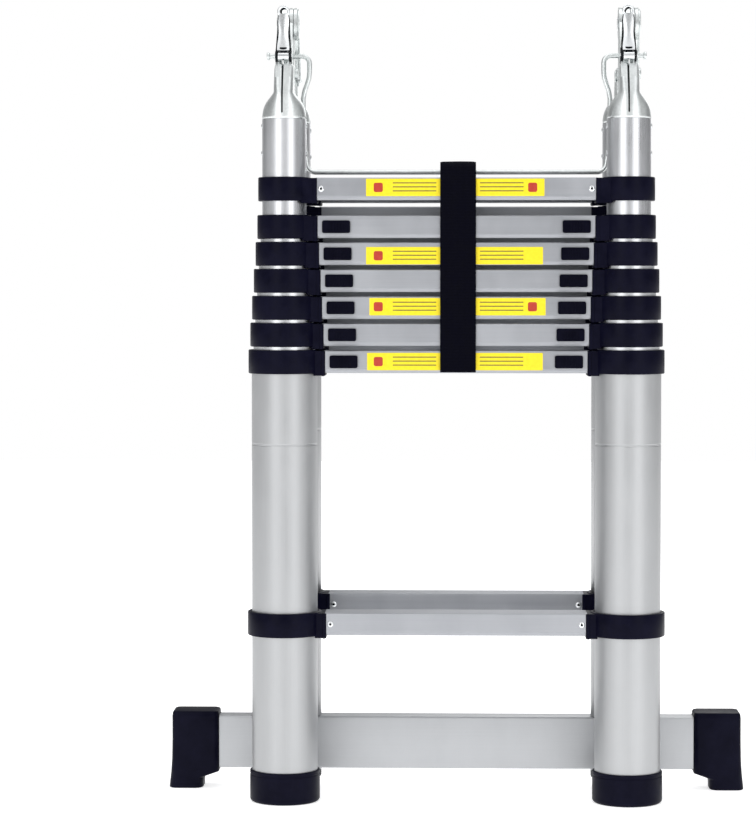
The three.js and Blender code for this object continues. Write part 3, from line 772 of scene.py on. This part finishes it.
def make_stabiliser_foot(side):
    """A moulded foot: a housing round the bar's end above a block that flares to the floor."""
    levels = (  # height, inner x, outer x, front y, back y, corner radius
        (0.0, 290.5, 327.0, 26.5, 65.5, 7), (0.8, 289.2, 328.0, 25.5, 66.5, 8), (6, 289, 327.6, 25, 67, 9),
        (11.5, 288.6, 327.0, 24.6, 67.4, 9), (13.2, 286, 326.8, 24.4, 67.6, 9),
        (18.5, 271.5, 326.0, 24.2, 67.8, 7), (20.5, 270.5, 325.8, 24, 68, 6), (34, 270.5, 324.9, 24, 68, 6),
        (58, 270.5, 324.5, 24, 68, 6), (82, 270.5, 324.5, 24, 68, 6), (86.4, 271.0, 324.0, 24.6, 67.4, 6),
        (88.1, 272.2, 322.8, 25.8, 66.2, 5), (88.6, 274, 321, 27.6, 64.4, 4),
    )
    bulge = 2.2
    loops = []
    for z, x0, x1, y0, y1, r in levels:
        loop = []
        for x, y in rounded(x0, x1, y0 + bulge, y1 - bulge, r, 8):
            across = (x - (x0 + x1) / 2) / ((x1 - x0) / 2)
            crown = bulge * (1 - across ** 2)
            loop.append((side * x, y - crown if y < HALF_OFFSET else y + crown, z))
        loops.append(loop)
    end = "left" if side < 0 else "right"
    x0, x1 = sorted((side * 262, side * 300.4))
    pocket = prism(rounded(30.7, 61.3, 22.7, 82.8, 2, 4), "X", x0, x1)
    piece(f"stabiliser_end_{end}", loft(loops), FOOT_RUBBER, "rear_s1",
          (f"stabiliser_foot_{end}",), cutters=[pocket])


# ---- hinges: x is measured from the stile's axis ----

def arm_outline(sign):
    points = [(24, 800), (9, 830), *arc(0, PIVOT_Z, DISC_R, -80, -360, 40), (45.5, 833), (60, 805)]
    return [(sign * u, z) for u, z in points]


def superloop(half_x, y0, y1, z, power, count=64):
    """A loop between a circle and a rounded rectangle."""
    middle, half_y = (y0 + y1) / 2, (y1 - y0) / 2
    loop = []
    for k in range(count):
        t = 2 * math.pi * k / count
        c, s = math.cos(t), math.sin(t)
        loop.append((math.copysign(abs(c) ** (2 / power), c) * half_x,
                     middle + math.copysign(abs(s) ** (2 / power), s) * half_y, z))
    return loop


def shell_shape(sign):
    """The pressed shell: round on the tube, drawn in at the shoulders to a flat neck."""
    stations = (  # height, half width, near u, far u, power
        (759.3, 24.2, 21.8, 70.2, 2), (759.8, 24.5, 21.5, 70.5, 2), (762, 24.5, 21.5, 70.5, 2),
        (765, 24.1, 21.5, 70.5, 2), (768, 23.6, 21.5, 70.5, 2.05), (771, 22.8, 21.5, 70.4, 2.1),
        (774, 21.6, 21.5, 70.3, 2.2), (777, 20.0, 21.5, 70.1, 2.35), (780, 17.8, 21.5, 69.8, 2.5),
        (782.5, 15.7, 21.5, 69.4, 2.8), (785, 13.6, 21.4, 68.8, 3.2), (787.2, 11.9, 21.2, 68.2, 3.7),
        (788.6, 11.3, 21.0, 67.7, 4.1), (796, 11.2, 19.6, 64.6, 4.6), (805, 11.1, 16.9, 60.0, 5),
        (814, 11.0, 14.2, 55.3, 5), (818, 10.6, 12.9, 53.2, 5), (819.5, 9.8, 12.8, 52.2, 5),
    )
    loops = []
    for z, half_x, near, far, power in stations:
        y0, y1 = sorted((sign * near, sign * far))
        loops.append(superloop(half_x, y0, y1, z, power))
    spigot = turned([(22.7, 700), (22.7, 760), (20.5, 760), (20.5, 700)], (0, sign * HALF_OFFSET), 48)
    return joined(loft(loops), spigot)


def rod_x(r, x0, x1, y, z, count=32):
    """A cylinder along X with its edges broken."""
    edge = min(0.5, r * 0.25)
    profile = [(0.01, x0), (r - edge, x0), (r, x0 + edge), (r, x1 - edge), (r - edge, x1), (0.01, x1)]
    shape = turned(profile, (0, 0), count, hollow=False)
    return moved(shape, Matrix.Translation((0, y, z)) @ Matrix.Rotation(math.pi / 2, 4, "Y"))


def make_hinge(side):
    end = "left" if side < 0 else "right"
    at = (side * STILE_X, 0, 0)
    front_node, rear_node = f"hinge_front_arm_{end}", f"hinge_rear_arm_{end}"
    seam = prism([(-2.1, 766), (-1.2, 764.6), (-0.3, 766), (-0.3, 822), (-2.1, 822)], "Y", -74, -50)
    piece(f"hinge_front_shell_{end}", shifted(shell_shape(-1), at), ZINC, "front_s7", (front_node,),
          cutters=[shifted(seam, at)])
    # Painted shade: a near-black strip laid in the shell's seam cut, for the shade inside the seam.
    fold_face = [(-69.6, 765.4), (-69.2, 779), (-67.7, 786), (-66.4, 790), (-63.8, 796), (-59.2, 805),
                 (-54.4, 814), (-52.4, 817.6)]
    fold = prism(fold_face + [(y + 3, z) for y, z in reversed(fold_face)], "X", -2.0, -0.4)
    piece(f"hinge_front_fold_{end}", shifted(fold, at), PAINTED_SHADE, "front_s7", (front_node,))
    piece(f"hinge_rear_shell_{end}", shifted(shell_shape(1), at), ZINC, "rear_s7", (rear_node,))
    lobe = [(-24, 806), (-6, 808), (2, 811), *arc(2, 818, 6, -60, 0, 4), (8, 850), (-10, 856), (-24, 850)]
    ear = [(-36, 822), (-44, 838), *arc(-52.5, 829, 5, 60, 235, 12), (-46, 818)]
    slot = prism(rounded(-3.4, 3.4, 820.6, 835.4, 3.3, 6), "X", -30, 30)
    for k, (x0, x1) in enumerate(((-9.5, -5), (3.5, 8))):
        spans = {"cheek": (x0, x1), "lobe": (x0 + 0.25, x1 - 0.25), "ear": ((-9.6, -7.2), (6.0, 8.1))[k]}
        for part, outline in (("cheek", arm_outline(-1)), ("lobe", lobe), ("ear", ear)):
            cutters = [shifted(slot, at)] if part == "lobe" else []
            shape = shifted(prism(outline, "X", *spans[part]), at)
            # Painted shade: the ears are near-black, for the deep shaded gaps either side of the lever's
            # spoon.
            material = PAINTED_SHADE if part == "ear" else ZINC
            piece(f"hinge_front_{part}_{k}_{end}", shape, material, "front_s7", (front_node,), 0.5,
                  3, cutters)
    for k, (x0, x1) in enumerate(((-4.5, 3), (8.5, 12.5))):
        shape = shifted(prism(arm_outline(1), "X", x0, x1), at)
        piece(f"hinge_rear_plate_{k}_{end}", shape, ZINC, "rear_s7", (rear_node,), 0.5, 3)
    rib = [(21, 806), (10, 831), *arc(0, PIVOT_Z, DISC_R - 1.2, -80, -360, 40), (43.5, 833), (56, 806)]
    piece(f"hinge_rear_rib_{end}", shifted(prism(rib, "X", 12.4, 14.9), at), ZINC, "rear_s7",
          (rear_node,), 2.2, 5)
    pin = joined(rod_x(8, -10.6, -9.6, 0, PIVOT_Z), rod_x(8, 14.6, 15.3, 0, PIVOT_Z),
                 rod_x(5, -10, 15, 0, PIVOT_Z))
    piece(f"hinge_pivot_pin_{end}", shifted(pin, at), CHROME, "front_s7", (front_node,))
    for sign, body in ((-1, "front_s7"), (1, "rear_s7")):
        spacer = joined(rod_x(6.5, -12.2, -10.6, sign * 22, 810.5), rod_x(6.5, 10.6, 14.4, sign * 22, 810.5))
        name = "front" if sign < 0 else "rear"
        piece(f"hinge_{name}_spacer_rivet_{end}", shifted(spacer, at), ZINC, body)
        for k, z in enumerate((721, 751)):
            heads = joined(rivet_shape(3.4, 1.5, Vector((24.2, sign * HALF_OFFSET, z)), "X"),
                           rivet_shape(3.4, 1.5, Vector((-24.2, sign * HALF_OFFSET, z)), "-X"))
            piece(f"hinge_{name}_shell_rivets_{k}_{end}", shifted(heads, at), CHROME, body)


def make_lever(side):
    """A pressed spoon with a finger loop, on a knuckle at its foot."""
    middle = -0.75
    stations = (  # height, distance in front, half width, dish
        (834.5, 53.4, 6.8, 0.6), (838, 51.6, 6.9, 0.9), (843, 49.6, 6.4, 1.2), (849, 47.6, 5.6, 1.3),
        (855, 46.0, 5.3, 1.2), (861, 44.8, 5.6, 1.0), (867, 44.0, 5.9, 0.8), (872, 43.4, 5.6, 0.5),
        (875.5, 43.2, 4.9, 0.3),
    )
    loops = []
    steps = 8
    thick = 1.7
    for z, u, half, dish in stations:
        front = []
        back = []
        for k in range(steps + 1):
            across = -1 + 2 * k / steps
            depth = dish * (1 - across ** 2)
            front.append((middle + across * half, -u - thick + depth, z))
            back.append((middle - across * half, -u + dish * (1 - across ** 2), z))
        loops.append(front + back)
    spoon = loft(loops)
    ring_steps = 36
    wire = []
    for k in range(ring_steps):
        t = 2 * math.pi * k / ring_steps
        centre = Vector((middle + 5.5 * math.cos(t), -43, 878.5 + 5.3 * math.sin(t)))
        out = Vector((math.cos(t), 0, math.sin(t)))
        wire.append([centre + out * (1.6 * math.cos(a)) + Vector((0, 1.45 * math.sin(a), 0))
                     for a in (2 * math.pi * j / 14 for j in range(14))])
    loop = loft(wire, closed=True)
    # Painted shade: a near-black plate just behind the spoon, a crescent inside the finger loop and the link
    # under the knuckle, for the shade in these hollows.
    channel = []
    for z, u, half in ((833.6, 52.0, 8.3), (838, 49.8, 8.3), (843, 47.6, 8.1), (849, 45.6, 7.6),
                       (855, 44.1, 7.2), (861, 43.1, 7.0), (867, 42.6, 6.9), (872, 42.3, 6.5),
                       (876, 42.2, 5.6)):
        channel.append([(middle - half, -u, z), (middle + half, -u, z), (middle + half, -u + 0.8, z),
                        (middle - half, -u + 0.8, z)])
    crescent = arc(middle, 878.5, 5.4, 20, 200, 16) + arc(middle + 1.5, 876.8, 4.1, 190, 35, 12)
    recess = joined(loft(channel), prism(crescent, "Y", -41.6, -40.8))
    knuckle = joined(rod_x(4.3, -6.9, 5.7, -52.5, 828.2), rod_x(1.7, -10.6, 9.1, -52.5, 829, 20))
    link = prism([(-50.4, 829), (-50.2, 838), (-53.2, 838), (-55.8, 829)], "X", -4.6, 3.1)
    end = "left" if side < 0 else "right"
    node = f"release_lever_{end}"
    at = (side * STILE_X, 0, 0)
    piece(f"{node}_spoon", shifted(joined(spoon, loop, knuckle), at), CHROME, node, (node,), 0.35)
    piece(f"{node}_recess", shifted(joined(recess, link), at), PAINTED_SHADE, node, (node,))


def swept(points, r, count=20):
    """A round rod along points in the plane Y = 0, given as (x, z)."""
    loops = []
    for k, (x, z) in enumerate(points):
        before, after = points[max(k - 1, 0)], points[min(k + 1, len(points) - 1)]
        direction = Vector((after[0] - before[0], 0, after[1] - before[1])).normalized()
        side = Vector((direction.z, 0, -direction.x))
        loops.append([Vector((x, 0, z)) + side * (r * math.cos(t)) + Vector((0, r * math.sin(t), 0))
                      for t in (2 * math.pi * j / count for j in range(count))])
    return loft(loops)


def make_release_bar():
    """One bent rod: across under the hinges, up beside each, and out through the locks as pins."""
    right = [(x, 702) for x in range(0, 160, 20)]
    right += arc(158, 712, 10, -85, 0, 8)
    right += [(170.5, 730), (171.5, 752), (172.0, 772), (172.2, 784), (170.6, 793), (167.6, 801),
              (165.6, 808), (165.0, 815)]
    right += arc(173, 824, 8, 180, 90, 8)
    right += [(190, 832), (205, 832), (210.5, 832)]
    points = [(-x, z) for x, z in reversed(right[1:])] + right
    knobs = [rod_x(4.4, *sorted((side * 209.6, side * 212.9)), 0, 832) for side in SIDES]
    piece("release_rod", joined(swept(points, 2.75), *knobs), ZINC, "release_bar", ("release_bar",))


# ---- strap ----

def make_strap():
    """A band of webbing over the top rung and the release bar, both its ends hanging free."""
    low, high = (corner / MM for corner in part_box("strap"))
    thick = 2.3
    centre_front, centre_back = low.y + 1.4, high.y - 1.4
    top = high.z - 1.5
    path = [(centre_front, z) for z in range(479, 690, 6)]
    path += [(centre_front + 0.1, 694)] + arc(centre_front + 12, top - 12, 12, 175, 95, 8)
    path += [(y, top - 1.2 * math.sin(math.pi * (y + 55) / 50)) for y in range(-54, -8, 5)]
    path += arc(centre_back - 12, top - 12, 12, 90, 0, 8)
    path += [(centre_back, z) for z in range(690, 478, -6)]
    x0, x1 = low.x + 0.3, high.x - 0.3
    steps = 16
    loops = []
    for k, (y, z) in enumerate(path):
        before, after = path[max(k - 1, 0)], path[min(k + 1, len(path) - 1)]
        direction = Vector((0, after[0] - before[0], after[1] - before[1])).normalized()
        out = Vector((0, -direction.z, direction.y))
        loop = []
        for layer in (1, -1):
            for j in range(steps + 1):
                across = -1 + 2 * j / steps
                edge = 1 - 0.55 * abs(across) ** 12
                ripple = 0.18 * math.sin(z * 0.09 + 2.2 * across) * (1 - across ** 2)
                x = (x0 + x1) / 2 + layer * across * (x1 - x0) / 2
                loop.append(Vector((x, y, z)) + out * (layer * thick / 2 * edge + ripple))
        loops.append(loop)
    strap = piece("carry_strap", loft(loops), WEBBING, "front_s7", ("strap",))


make_camera()
make_studio()
for name in HALVES:
    make_half(name)
make_stabiliser()
for sign in SIDES:
    make_front_cap(sign)
    make_rear_plug(sign)
    make_hinge(sign)
    make_lever(sign)
make_release_bar()
make_strap()
